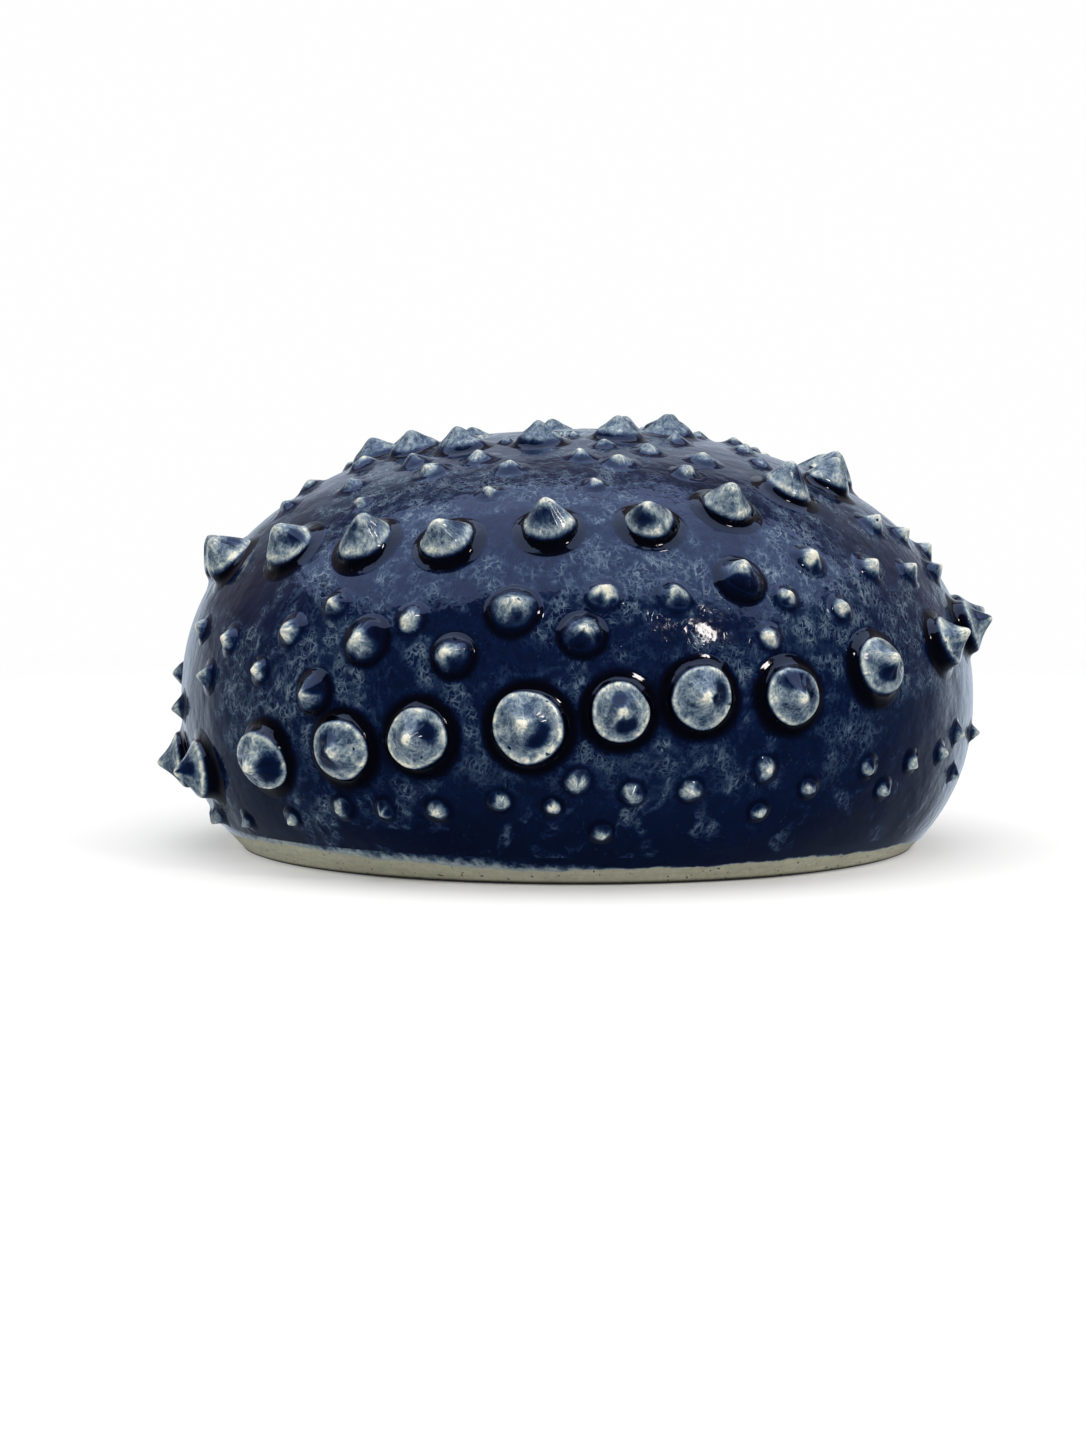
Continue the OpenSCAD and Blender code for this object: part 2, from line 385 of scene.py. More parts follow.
low_levels = np.linspace(slab_top, widest_z, BELLY_RINGS + 1)[:-1]
outside = [(float(outline_radius(z)), z) for z in low_levels] + quarter(dome_r, rise, SHOULDER_RINGS)
inside = ([(float(outline_radius(z)) - wall, z) for z in low_levels[::3]]
          + quarter(dome_r - wall, rise - wall, INSIDE_RINGS))
dome = spun("dome", outside + inside[::-1] + outside[:1], AROUND_DOME)
print("dome thrown:", len(dome.data.vertices), "points")

# %% [markdown]
# ## Piercing the stem holes
#
# The holes are pierced straight down while the clay is soft, and a wet finger rounds their
# lips. A plain cylinder would leave a knife edge that no glazed pot has. So the piercing tool is
# a cylinder that flares like a trumpet: its bell is laid on the dome's own surface, and it cuts
# the hole and the round lip together. Where the holes are comes from the frame: the bore's mount
# gives the middle hole, and the boxes of the other openings give the ring.

# %% Finding the holes
centres = [mount["pos_m"][:2] for mount in frame["record"]["mounts"] if mount["kind"] == "bore"]
for opening in frame["record"]["physics"]["openings"]:
    if "stem_hole" in opening["name"]:
        low, high = np.array(opening["box_m"])
        centres.append(list((low + high)[:2] / 2))
crown_points = shell[shell[:, 2] > 0.85 * crown_z]
holes = []
for x, y in centres:
    holes.append((x, y, np.hypot(crown_points[:, 0] - x, crown_points[:, 1] - y).min()))
    print(f"hole at {x / MM:.1f}, {y / MM:.1f} mm, radius {holes[-1][2] / MM:.2f} mm")


# %% Making a piercing tool
LIP = 1.3 * MM
AROUND_HOLE = 72
BELL_ANGLES = (0, 16, 32, 48, 64, 78)


def crown_level(x, y):
    return widest_z + rise * (1 - (np.hypot(x, y) / dome_r) ** FULLNESS) ** (1 / FULLNESS)


def piercing_tool(x, y, radius):
    bell = [(radius + LIP * (1 - math.cos(a)), LIP * (math.sin(a) - 1))
            for a in np.radians(BELL_ANGLES)]
    rings = [(radius, -4 * wall)] + bell + [(bell[-1][0], wall)]
    tool = coiled("piercing_tool", rings, AROUND_HOLE)
    p = points_of(tool.data) + (x, y, 0)
    p[:, 2] += crown_level(p[:, 0], p[:, 1])
    write_points(tool.data, p)
    return tool


# %% Piercing the dome with all the tools at once
pick_up(*[piercing_tool(*hole) for hole in holes])
bpy.ops.object.join()
tools = bpy.context.object
pick_up(dome)
pierce = dome.modifiers.new("pierce", "BOOLEAN")
pierce.object, pierce.solver = tools, "EXACT"
bpy.ops.object.modifier_apply(modifier="pierce")
pick_up(tools)
bpy.ops.object.delete()
print("dome pierced:", len(dome.data.vertices), "points")

# %% [markdown]
# ## Where the glaze gathers on the dome
#
# Fired glaze is a thick liquid. Round the foot of every tubercle it hangs in the corner and goes
# nearly black, and it draws back from the lips of the holes. These two facts are written on the
# dome's points as numbers, which the glaze reads later: the gap to the nearest tubercle becomes
# `pool`, and the nearness of a hole's lip becomes `lip`. A painted picture could do the same, but
# numbers on points need no picture file. The large tubercles gather the widest pools. Each
# entry of `POOLS` is the gap in millimetres where a pool is still full, the gap where it is
# gone, and how deep it is.

# %% How wide and how deep the pools are
POOLS = {
    "belly_large_tubercles": (0.5, 3.3, 1),
    "shoulder_large_tubercles": (0.6, 3.0, 1),
    "crown_large_tubercles": (0.2, 2.4, 1),
    "belly_medium_tubercles": (0.4, 2.0, 0.85),
}
BUMP_POOL = (-0.2, 1.5, 0.6)


def pool_at(p):
    pool = np.zeros(len(p))
    for node, seats in rows.items():
        full, gone, depth = POOLS.get(node, BUMP_POOL)
        for seat in seats:
            gap = np.linalg.norm(p - seat.at, axis=1) - seat.radius
            pool = np.maximum(pool, depth * (1 - smooth_step(full * MM, gone * MM, gap)))
    return pool


# %% Writing pool and lip on the dome
SKIN = 0.3 * wall  # the glaze lies on no more of the wall than this
p = points_of(dome.data)
skin = girth(p) > 1 - SKIN / dome_r
write_value(dome.data, "pool", pool_at(p) * skin)
lip = np.zeros(len(p))
for x, y, radius in holes:
    edge = np.abs(np.hypot(p[:, 0] - x, p[:, 1] - y) - radius - 0.3 * LIP)
    lip = np.maximum(lip, 1 - smooth_step(0.4 * LIP, 1.8 * LIP, edge))
on_crown = p[:, 2] > crown_level(0.4 * dome_r, 0) - wall
write_value(dome.data, "lip", lip * on_crown)
dome = finish_piece(dome, "glazed_dome", "cobalt_glaze", "dome_shell", angle=35)

# %% [markdown]
# ## The slab
#
# The slab closes the water chamber. Its lowest edge is wiped clean of glaze, or it would weld
# itself to the kiln shelf, so a band of bare grey clay shows there. The glaze ends above it in
# a ragged line. The slab is spun like the dome, with the bare band set back by the thickness
# of the glaze. Each point keeps how far it is above the line, as `above_line`, and how wide the
# thin end of the glaze is there, as `fringe`.

# %% Making the slab
GLAZE_THICKNESS = 0.25 * MM
AROUND_SLAB = 300
SIDE_RINGS = 22
EDGE_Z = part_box("base_slab")[0].z + 0.8 * MM  # the rounded lower edge ends here
foot = points_of(frame["nodes"]["base_slab"].data)
foot_r = np.hypot(foot[:, 0], foot[:, 1])[foot[:, 2] < SAME].max()


def glaze_line(turn):
    """Height of the lower edge of the glaze, all round the foot: slow sags and quick ripples."""
    sags = 2.61 + 0.62 * np.cos(turn + 0.8) + 0.51 * np.cos(2 * turn + 0.12) + 0.91 * np.cos(3 * turn - 3.1)
    ripples = 0.16 * np.cos(5 * turn - 1.86) + 0.12 * np.sin(13 * turn) + 0.08 * np.sin(29 * turn + 1.3)
    return MM * (np.maximum(1.5, sags) + ripples)


side = [(float(outline_radius(z)), float(z)) for z in np.linspace(EDGE_Z, slab_top, SIDE_RINGS)]
overhang = side[0][0] - foot_r
under = [(0, 0), (0.5 * foot_r, 0), (foot_r, 0)]
arris = [(foot_r + 0.35 * overhang, 0.1 * MM), (foot_r + 0.75 * overhang, 0.4 * EDGE_Z)]
slab = spun("slab", under + arris + side + [(0.5 * foot_r, slab_top), (0, slab_top)], AROUND_SLAB)
print("slab thrown:", len(slab.data.vertices), "points")

# %% Writing the glaze line on the slab and setting the bare band back
p = points_of(slab.data)
turn = np.arctan2(p[:, 0], -p[:, 1])
above = (p[:, 2] - glaze_line(turn)) / MM
write_value(slab.data, "above_line", above)
write_value(slab.data, "fringe", 0.4 + 1.8 * smooth_step(0.6, 0.95, np.cos(turn + 0.75)))
radius = np.hypot(p[:, 0], p[:, 1])
bare = (1 - smooth_step(-0.25, 0.25, above)) * (radius > 0.9 * foot_r)
p[:, :2] *= (1 - bare * GLAZE_THICKNESS / np.maximum(radius, foot_r / 4))[:, None]
write_points(slab.data, p)
slab = finish_piece(slab, "clay_slab", "bare_clay", "base_slab", angle=40)

# %% [markdown]
# ## The tubercles
#
# Every kind of tubercle is modelled once, upright, as rings of a circle. The profile points are
# (radius, height, thinness of the glaze), where a radius of 1 is the pad's own radius and a
# height of 1 its whole height. Each profile starts a little inside the dome's wall and leaves it in
# a soft hollow curve, because that is where glaze fills the corner.

# %% The five profiles
BELLY_PAD = [
    (1.52, -0.10, 0), (1.42, -0.01, 0), (1.28, 0.02, 0), (1.16, 0.055, 0), (1.07, 0.10, 0),
    (1.015, 0.16, 0), (0.995, 0.22, 0.04), (0.975, 0.29, 0.50), (0.93, 0.34, 0.90), (0.83, 0.39, 0.77),
    (0.67, 0.47, 0.69), (0.50, 0.58, 0.66), (0.34, 0.72, 0.72), (0.20, 0.87, 0.86), (0.10, 0.97, 1),
    (0.03, 1, 1),
]
SHOULDER_PAD = [
    (1.60, -0.10, 0), (1.48, -0.01, 0), (1.32, 0.025, 0), (1.19, 0.055, 0), (1.09, 0.09, 0),
    (1.03, 0.13, 0), (1.00, 0.17, 0.04), (0.97, 0.22, 0.48), (0.90, 0.29, 0.86), (0.77, 0.41, 0.77),
    (0.60, 0.57, 0.70), (0.43, 0.74, 0.71), (0.28, 0.88, 0.82), (0.15, 0.965, 0.93), (0.05, 1, 0.95),
]
CROWN_CONE = [
    (1.66, -0.12, 0), (1.50, -0.01, 0.1), (1.30, 0.05, 0.22), (1.13, 0.13, 0.28), (1.03, 0.24, 0.40),
    (0.93, 0.33, 0.64), (0.76, 0.44, 0.68), (0.55, 0.59, 0.68), (0.36, 0.76, 0.68), (0.21, 0.91, 0.74),
    (0.11, 0.98, 0.78), (0.04, 1, 0.78),
]
RING_TUBERCLE = [
    (1.55, -0.14, 0), (1.42, -0.01, 0), (1.24, 0.05, 0.04), (1.09, 0.13, 0.10), (0.97, 0.23, 0.18),
    (0.85, 0.34, 0.40), (0.69, 0.47, 0.60), (0.52, 0.62, 0.72), (0.36, 0.78, 0.84), (0.22, 0.91, 0.95),
    (0.10, 0.98, 1), (0.03, 1, 1),
]
BUMP = [
    (1.85, -0.16, 0.1), (1.58, -0.01, 0.1), (1.28, 0.06, 0.14), (1.02, 0.17, 0.24), (0.80, 0.33, 0.60),
    (0.60, 0.52, 0.87), (0.41, 0.71, 0.93), (0.25, 0.87, 0.97), (0.12, 0.965, 1), (0.04, 1, 1),
]


# %% [markdown]
# No two tubercles are alike: they lean, their outlines are lumpy, some cones have fine ridges from
# the fingers, and glaze stands in dark pools beside the tip. These habits belong to the kind of
# tubercle, so each kind is one small record, and each copy draws its own chances from a seeded
# generator:
#
# - `around` and `steps` say how fine its mesh is.
# - `uphill` is how far all of them tilt uphill, `tilt` how much that varies, and `lean` how far
#   the tip is pulled aside.
# - `lump` and `ridge` are how uneven the outline is and how deep the finger ridges are.
# - `blots` and `near` are how dark the pools beside the tip are and how far out they stand.
# - `size` is how wide and how high it is beside the frame's plain solid, since soft clay slumps.
# - `edge` is where its own glaze goes over into that of the dome, in shares of its radius.

# %% What each kind of tubercle is like
class Kind:
    def __init__(self, profile, around, steps, uphill, tilt, lean, lump, ridge, blots, near,
                 size=(1, 1), edge=(1.02, 1.30)):
        self.profile, self.around, self.steps = profile, around, steps
        self.uphill, self.tilt, self.lean = uphill, tilt, lean
        self.lump, self.ridge, self.blots, self.near = lump, ridge, blots, near
        self.size, self.edge = size, edge


BELLY = Kind(BELLY_PAD, 48, 2, uphill=0.05, tilt=0.10, lean=0.16,
             lump=0.03, ridge=0.014, blots=1.2, near=0.34)
SHOULDER = Kind(SHOULDER_PAD, 48, 2, uphill=0.13, tilt=0.11, lean=0.24,
                lump=0.06, ridge=0.03, blots=0.7, near=0.32, size=(1, 0.95))
CROWN = Kind(CROWN_CONE, 48, 2, uphill=0.06, tilt=0.08, lean=0.16,
             lump=0.06, ridge=0.045, blots=0.3, near=0.40, size=(0.94, 0.84))
RING = Kind(RING_TUBERCLE, 36, 2, uphill=0.0, tilt=0.12, lean=0.30,
            lump=0.09, ridge=0.01, blots=1.0, near=0.55)
SMALL = Kind(BUMP, 20, 1, uphill=0.0, tilt=0.12, lean=0.26,
             lump=0.10, ridge=0, blots=0.8, near=0.55, edge=(0.90, 1.40))


# %% [markdown]
# The first of each kind is built up ring by ring. Its points keep how thin the glaze is, as
# `thin`, and how far out they are, as `share`, and every copy takes both along.

# %% Making the first of a kind
def master_of(kind, radius, tall):
    rings = through(kind.profile, kind.steps)
    sized = [(r * radius, z * tall) for r, z, _ in rings]
    piece = coiled("master", sized, kind.around)
    p = points_of(piece.data)
    away = np.hypot(p[:, 0], p[:, 1])[:, None] - rings[:, 0] * radius
    nearest = np.hypot(away, p[:, 2][:, None] - rings[:, 1] * tall).argmin(axis=1)
    write_value(piece.data, "thin", rings[nearest, 2])
    write_value(piece.data, "share", rings[nearest, 0])
    return piece


# %% [markdown]
# A copy is shaped by its own chances in three moves: its outline goes lumpy, its tip is pulled
# aside and it tilts, and it is let down on its seat. Sideways moves follow the seat's right and
# uphill directions, height follows the way the dome faces, and the lowest rings are let down on
# the curved dome so that the foot fits all round. `high` is each point's share of the height.

# %% The uneven outline, and the ridges that fingers leave on the cone
def lumpy(p, share, high, kind, seat, size, chance):
    angle = np.arctan2(p[:, 1], p[:, 0])
    a, b, c, d = chance.uniform(0, TAU, 4)
    lump = kind.lump * (np.sin(2 * angle + a) + 0.6 * np.sin(3 * angle + b) + 0.4 * np.sin(5 * angle + c))
    body = smooth_step(0.02, 0.3, high) * np.minimum(1, 3 * share)
    folds = chance.integers(7, 12)
    on_cone = smooth_step(0.1, 0.4, share) * (1 - smooth_step(0.75, 1.0, share)) * (high > 0.3)
    ridges = kind.ridge * seat.radius * on_cone * np.sin(folds * angle + d + 2 * np.sin(angle))
    across = p[:, :2] * (1 + lump * body)[:, None] * seat.radius / kind.radius * size[0]
    height = (p[:, 2] + ridges) * seat.tall / kind.tall * size[1]
    return across, height


# %% Pulling the tip aside, tilting the whole, and letting it down
def leant(across, height, high, tip_way, kind, seat, chance):
    lean = chance.uniform(0.3, 1) * kind.lean * seat.tall * high ** 1.3
    across = across + np.stack([np.cos(tip_way) * lean, np.sin(tip_way) * lean], axis=1)
    tilt = chance.normal(0, kind.tilt, 2) + (0, kind.uphill)
    body = smooth_step(0.05, 0.35, high)
    return across + (body * height)[:, None] * tilt, height - body * (across @ tilt)


def let_down(across, height, high, seat):
    flat = seat.at + across[:, :1] * seat.right + across[:, 1:] * seat.up
    foot = drop_to_dome(flat, seat.out)
    settled = 1 - smooth_step(0.1, 0.6, high)
    return flat + (foot - flat) * settled[:, None] + height[:, None] * seat.out


# %% [markdown]
# One to three dark pools stand beside the tip, on the side away from its lean, and the points
# keep them as `blot`. They also keep `swirl`, a place that turns round the tip, so that a noise
# read at it becomes streaks from the tip to the rim. Two groups of small bumps have habits of
# their own: those under the widest level sag downwards, and those on the flat crown have melted
# lower and wider. Both are a little duller than the rest.

# %% The dark pools beside the tip
def blots_beside(tip_way, angle, share, high, kind, chance):
    blot = np.zeros(len(share))
    for extra in range(chance.integers(1, 4)):
        way = tip_way + math.pi + chance.normal(0, 0.5 + extra)
        apart = np.angle(np.exp(1j * (angle - way))) / chance.uniform(0.5, 1.2)
        out = (share - kind.near - chance.uniform(0, 0.3)) / (kind.near * chance.uniform(0.5, 1.0))
        strength = kind.blots * chance.uniform(0.6, 1.0)
        blot = np.maximum(blot, strength * np.exp(-out ** 2 - apart ** 2) * (high > 0.25))
    return blot


# %% Pressing one tubercle on its seat
FLAT_CROWN = 0.8  # a seat that faces up by more than this is on the flat crown
MELTED = (1.15, 0.75)
DULLED = 0.88
SAGGING, ASIDE = (-1.5, 0.4), (2.9, 1.1)  # which way tips lean and how much it varies, in radians


def pressed_on(master, kind, seat, chance):
    pick_up(master)
    bpy.ops.object.duplicate()
    copy = bpy.context.object
    p = points_of(copy.data)
    share = values_of(copy.data, "share")
    angle = np.arctan2(p[:, 1], p[:, 0])
    high = np.clip(p[:, 2] / p[:, 2].max(), 0, 1)
    sags = kind is SMALL and seat.at[2] < widest_z
    melts = kind is SMALL and seat.out[2] > FLAT_CROWN
    size = MELTED if melts else kind.size
    across, height = lumpy(p, share, high, kind, seat, size, chance)
    tip_way = chance.normal(*(SAGGING if sags else ASIDE))
    across, height = leant(across, height, high, tip_way, kind, seat, chance)
    write_points(copy.data, let_down(across, height, high, seat))
    write_value(copy.data, "body", 1 - smooth_step(*kind.edge, share))
    write_value(copy.data, "blot", blots_beside(tip_way, angle, share, high, kind, chance))
    thin = values_of(copy.data, "thin")
    write_value(copy.data, "thin", thin * DULLED if sags or melts else thin)
    turn = angle + chance.uniform(-1.3, 1.3) * share
    place_in_swirl = [2.2 * np.cos(turn), 2.2 * np.sin(turn), 2.4 * share + chance.uniform(0, 50)]
    write_spots(copy.data, "swirl", np.stack(place_in_swirl, axis=1))
    return copy


# %% [markdown]
# A whole row is pressed on from one first tubercle, joined into one piece and dented with the
# dome. The first one is thrown away at the end.

# %% Pressing on a row
def row_of(node, name, kind, seed):
    seats = rows[node]
    kind.radius = float(np.median([seat.radius for seat in seats]))
    kind.tall = float(np.median([seat.tall for seat in seats]))
    master = master_of(kind, kind.radius, kind.tall)
    chance = np.random.default_rng(seed)
    copies = [pressed_on(master, kind, seat, chance) for seat in seats]
    pick_up(*copies)
    bpy.ops.object.join()
    row = bpy.context.object
    write_value(row.data, "pool", pool_at(points_of(row.data)))
    finish_piece(row, name, "tubercle_glaze", node)
    pick_up(master)
    bpy.ops.object.delete()
    return row


# %% Pressing on the large tubercles and the ring tubercles
tubercles = [
    row_of("belly_large_tubercles", "belly_pads", BELLY, 11),
    row_of("shoulder_large_tubercles", "shoulder_pads", SHOULDER, 12),
    row_of("crown_large_tubercles", "crown_cones", CROWN, 13),
    row_of("belly_medium_tubercles", "ring_tubercles", RING, 14),
]

# %% Pressing on the small bumps
for seed, node in enumerate(sorted(rows), start=30):
    if node.endswith("bumps"):
        tubercles.append(row_of(node, node.replace("bumps", "small_bumps"), SMALL, seed))

# %% [markdown]
# ## Writing shader maths as plain sums
#
# A material is a net of nodes. Laid out by hand it is a picture, but in code it is easier to
# read as sums. A `Wire` holds one output socket, and adding or multiplying wires adds the Math
# nodes. Every other node comes from `grow`, which takes the node's kind, its settings and its
# sockets.

# %% A small class for wires
class Wire:
    tree = None

    def __init__(self, socket):
        self.socket = socket

    @classmethod
    def grow(cls, kind, settings=None, sockets=None, out=0):
        node = cls.tree.nodes.new("ShaderNode" + kind)
        for name, value in (settings or {}).items():
            if name == "stops":
                cls.set_stops(node.color_ramp, value)
            else:
                setattr(node, name, value)
        for key, value in (sockets or {}).items():
            if isinstance(value, Wire):
                cls.tree.links.new(value.socket, node.inputs[key])
            else:
                node.inputs[key].default_value = value
        return cls(node.outputs[out]) if node.outputs else None

    @staticmethod
    def set_stops(ramp, stops):
        while len(ramp.elements) < len(stops):
            ramp.elements.new(1.0)
        for element, (place, colour) in zip(ramp.elements, stops):
            element.position = place
            element.color = (*colour, 1)

    def sum_of(self, operation, *terms):
        return Wire.grow("Math", {"operation": operation}, dict(enumerate(terms)))

    def __add__(self, other):
        return self.sum_of("ADD", self, other)

    def __sub__(self, other):
        return self.sum_of("SUBTRACT", self, other)

    def __rsub__(self, other):
        return self.sum_of("SUBTRACT", other, self)

    def __mul__(self, other):
        return self.sum_of("MULTIPLY", self, other)

    def __truediv__(self, other):
        return self.sum_of("DIVIDE", self, other)

    def __pow__(self, other):
        return self.sum_of("POWER", self, other)

    __radd__ = __add__
    __rmul__ = __mul__

    def larger(self, other):
        return self.sum_of("MAXIMUM", self, other)

    def size(self):
        return self.sum_of("ABSOLUTE", self)

    def between(self, low, high, start=0.0, end=1.0):
        """A soft step from start to end while the value goes from low to high."""
        return Wire.grow("MapRange", {"interpolation_type": "SMOOTHSTEP"},
                         {0: self, 1: low, 2: high, 3: start, 4: end})


# %% Places, numbers on points, noises and mixed colours
def value_on_points(name):
    return Wire.grow("Attribute", {"attribute_name": name}, out=2)


def place():
    return Wire.grow("TexCoord", out=3)


def axis_of(spot, axis):
    """One number of a place or a direction: 0 is x, 1 is y and 2 is z."""
    return Wire.grow("SeparateXYZ", {}, {0: spot}, out=axis)


def noise(per_metre, detail=2.0, roughness=0.5, distortion=0.0, at=None, turn=(0, 0, 0), stretch=1):
    """A noise that can be turned and then drawn out along two axes."""
    spot = at or place()
    if any(turn):
        scale = (1, stretch, stretch)
        spot = Wire.grow("Mapping", {"vector_type": "TEXTURE"}, {0: spot, 2: turn, 3: scale})
    return Wire.grow("TexNoise", {}, {"Vector": spot, "Scale": per_metre, "Detail": detail,
                                      "Roughness": roughness, "Distortion": distortion})


def mixed(share, first, second):
    return Wire.grow("Mix", {"data_type": "RGBA"}, {0: share, 6: first, 7: second}, out=2)


# %% [markdown]
# ## The cobalt glaze
#
# One ramp holds the whole glaze: nearly black where it is deep, navy, then a greyed blue, pale
# where it is thin, and cream on the tips where the clay shows through. Every glazed surface
# works out one number, how thin the glaze is at a point, and looks its colour up. Deep glaze
# takes in nearly all light, so those colours are far darker than paint would be.

# %% The colours of the glaze from deep to thin
GLAZE_STOPS = [
    (0.00, (0.0005, 0.0008, 0.0030)),
    (0.15, (0.0010, 0.0026, 0.0130)),
    (0.28, (0.0022, 0.0085, 0.0370)),
    (0.42, (0.0140, 0.0295, 0.0690)),
    (0.56, (0.0510, 0.0800, 0.1270)),
    (0.70, (0.1400, 0.1930, 0.2450)),
    (0.84, (0.3200, 0.3800, 0.3950)),
    (0.93, (0.5300, 0.5600, 0.5100)),
    (1.00, (0.8000, 0.7800, 0.6500)),
]


def glaze_colour(thin):
    return Wire.grow("ValToRGB", {"stops": GLAZE_STOPS}, {0: thin})


# %% [markdown]
# Between the tubercles the glaze has broken into patches of fine hairs, where crystals grew while
# the kiln cooled. A hair is the level line of a noise that is drawn out along one direction, so
# three noises that are turned against each other give a felt of hairs. A slow noise says where
# the patches are. Near the foot they shrink to single spots, and the pools wash them out.

# %% Hairs
def fine_line(field, half_width):
    """1 along the middle level of a noise, and 0 away from it: a crooked hair line."""
    return (field - 0.5).size().between(0.0, half_width, 1.0, 0.0)


def hairs():
    first = fine_line(noise(900, 1.5, 0.5, 0.4, turn=(0.2, 0.3, 0.5), stretch=2.4), 0.07)
    second = fine_line(noise(1050, 1.5, 0.5, 0.4, turn=(0.9, 0.4, 1.6), stretch=2.4), 0.07)
    third = fine_line(noise(1250, 1.0, 0.5, 0.4, turn=(0.3, 1.1, 2.7), stretch=2), 0.08)
    return first.larger(second * 0.85).larger(third * 0.7)


# %% The patches they grow in
SPOTS_ONLY, PATCHES_ONLY = 10 * MM, 26 * MM  # levels above the table


def mottle(calm):
    """How much thinner the glaze lies in a patch of hairs."""
    low = axis_of(place(), 2).between(SPOTS_ONLY, PATCHES_ONLY, 1.0, 0.0)
    wide = noise(58, 4, 0.65, 0.7).between(0.39, 0.56, 0.22, 1.0)
    spots = noise(115, 3, 0.6, 0.5).between(0.51, 0.63, 0.05, 1.0)
    patch = wide * (1 - low) + spots * low
    cloud = noise(210, 6, 0.72, 0.3).between(0.38, 0.68)
    felt = hairs() * noise(300, 3, 0.6).between(0.30, 0.60)
    return patch * (0.05 + 0.11 * cloud + 0.38 * felt) * (1 - calm)


# %% [markdown]
# Every material here ends in the same shader, and takes its small unevenness from a height in
# millimetres. Fired glaze is never flat: it has slow swells, like the peel of an orange, and a
# few fine pits.

# %% The shader that all share, and the unevenness of the glaze
def new_material(name):
    material = bpy.data.materials.new(name)
    material.use_nodes = True
    Wire.tree = material.node_tree
    Wire.tree.nodes.clear()
    return material


def surface(colour, roughness, height):
    normal = Wire.grow("Bump", {}, {"Strength": 1.0, "Distance": MM, "Height": height})
    sockets = {"Base Color": colour, "Roughness": roughness, "Normal": normal}
    Wire.grow("OutputMaterial", {}, {0: Wire.grow("BsdfPrincipled", {}, sockets)})


def orange_peel():
    swell = noise(85, 2, 0.45) * 0.60 + noise(270, 2, 0.5) * 0.12 + noise(620, 1, 0.5) * 0.055
    pit = Wire.grow("TexVoronoi", {}, {"Vector": place(), "Scale": 420.0}).between(0.02, 0.10, -0.03, 0.0)
    return swell + pit


# %% [markdown]
# On the dome the glaze has one plain thinness that drifts a little. The pools take it away, and
# hairs and a few pale specks add to it. At the lips of the holes it has drawn back.

# %% The skin of the dome
PLAIN_GLAZE = 0.195
LIP_GLAZE = 0.42
HAIR_HEIGHT = 0.05


def ground():
    """How thin the glaze is on the dome itself, and how much of that is crystals."""
    ragged = noise(240, 3, 0.6) - 0.5
    pool = (value_on_points("pool") + ragged * 0.30).between(0.05, 0.95)
    drift = (noise(40, 2, 0.5) - 0.5) * 0.10
    specks = noise(1500, 1, 0.5).between(0.70, 0.76) * 0.14 * (1 - pool)
    crystals = mottle(pool)
    return (PLAIN_GLAZE + drift) * (1 - pool) + crystals + specks, crystals


def cobalt_glaze():
    material = new_material("cobalt_glaze")
    thin, crystals = ground()
    lip = value_on_points("lip") * noise(500, 2).between(0.25, 0.7, 0.5, 1.0)
    roughness = 0.06 + 0.07 * noise(700, 2).between(0.4, 0.7)
    surface(glaze_colour(thin + LIP_GLAZE * lip), roughness, orange_peel() + crystals * HAIR_HEIGHT)
    return material


# %% [markdown]
# The tubercles wear the same glaze. Their own `thin` number does most of the work and the dark
# pools take from it. Then noises break it up: soft clouds, streaks from the tip to the rim, fine
# scratches, and the little dark pinholes that gas leaves. Only pale glaze shows them. Beyond the
# edge of its pad, a tubercle's skirt wears the glaze of the dome, so that no seam shows.

# %% The glaze on the tubercles
POOLED_LOSS = 0.65


def tubercle_glaze():
    material = new_material("tubercle_glaze")
    pooled = (value_on_points("blot") + (noise(420, 3, 0.6) - 0.5) * 0.40).between(0.12, 0.76)
    base = value_on_points("thin") * (1 - POOLED_LOSS * pooled) + (noise(650, 3, 0.6) - 0.5) * 0.26
    pale = base.between(0.15, 0.55)
    cloud = (noise(330, 3, 0.6, 0.6) - 0.5) * 0.72 + (noise(1100, 2, 0.6, 0.5) - 0.5) * 0.28
    swirl = Wire.grow("Attribute", {"attribute_name": "swirl"}, out=1)
    streaks = (noise(0.9, 3, 0.65, 0.8, at=swirl) - 0.5) * 0.46
    scratches = hairs() * 0.14 - 0.07
    pinhole = noise(900, 1, 0.5).between(0.20, 0.27, 0.5, 0.0)
    own = base * 0.97 + (cloud + streaks + scratches - pinhole) * pale
    under, _ = ground()
    body = value_on_points("body")
    thin = under * (1 - body) + own * body
    roughness = 0.07 + 0.10 * noise(800, 2).between(0.4, 0.7) * pale
    surface(glaze_colour(thin), roughness, orange_peel())
    return material


# %% [markdown]
# ## Bare clay
#
# The bare band is stoneware: dull, greenish grey, with grog grains, soft stains, a few dark iron
# specks and the faint rings of the wheel. The rings are a noise that is squashed flat. The same
# material also draws the ragged end of the glaze, because both lie on one piece, and the glaze is
# thin and pale blue along that end.

# %% The colour of the clay
def clay_colour(grain, rings):
    tone = (grain * 0.6 + rings * 0.4).between(0.30, 0.70)
    clay = mixed(tone, (0.36, 0.36, 0.27, 1), (0.52, 0.52, 0.40, 1))
    stain = noise(70, 3, 0.6).between(0.45, 0.70) * 0.55
    clay = mixed(stain, clay, (0.38, 0.37, 0.29, 1))
    speck = noise(1300, 1, 0.5).between(0.69, 0.74)
    return mixed(speck, clay, (0.05, 0.045, 0.04, 1))


# %% The slab's finish, from the painted shadow line at the table to the glaze
DULL, GLOSSY = 0.85, 0.08
GLAZE_STEP = 0.18


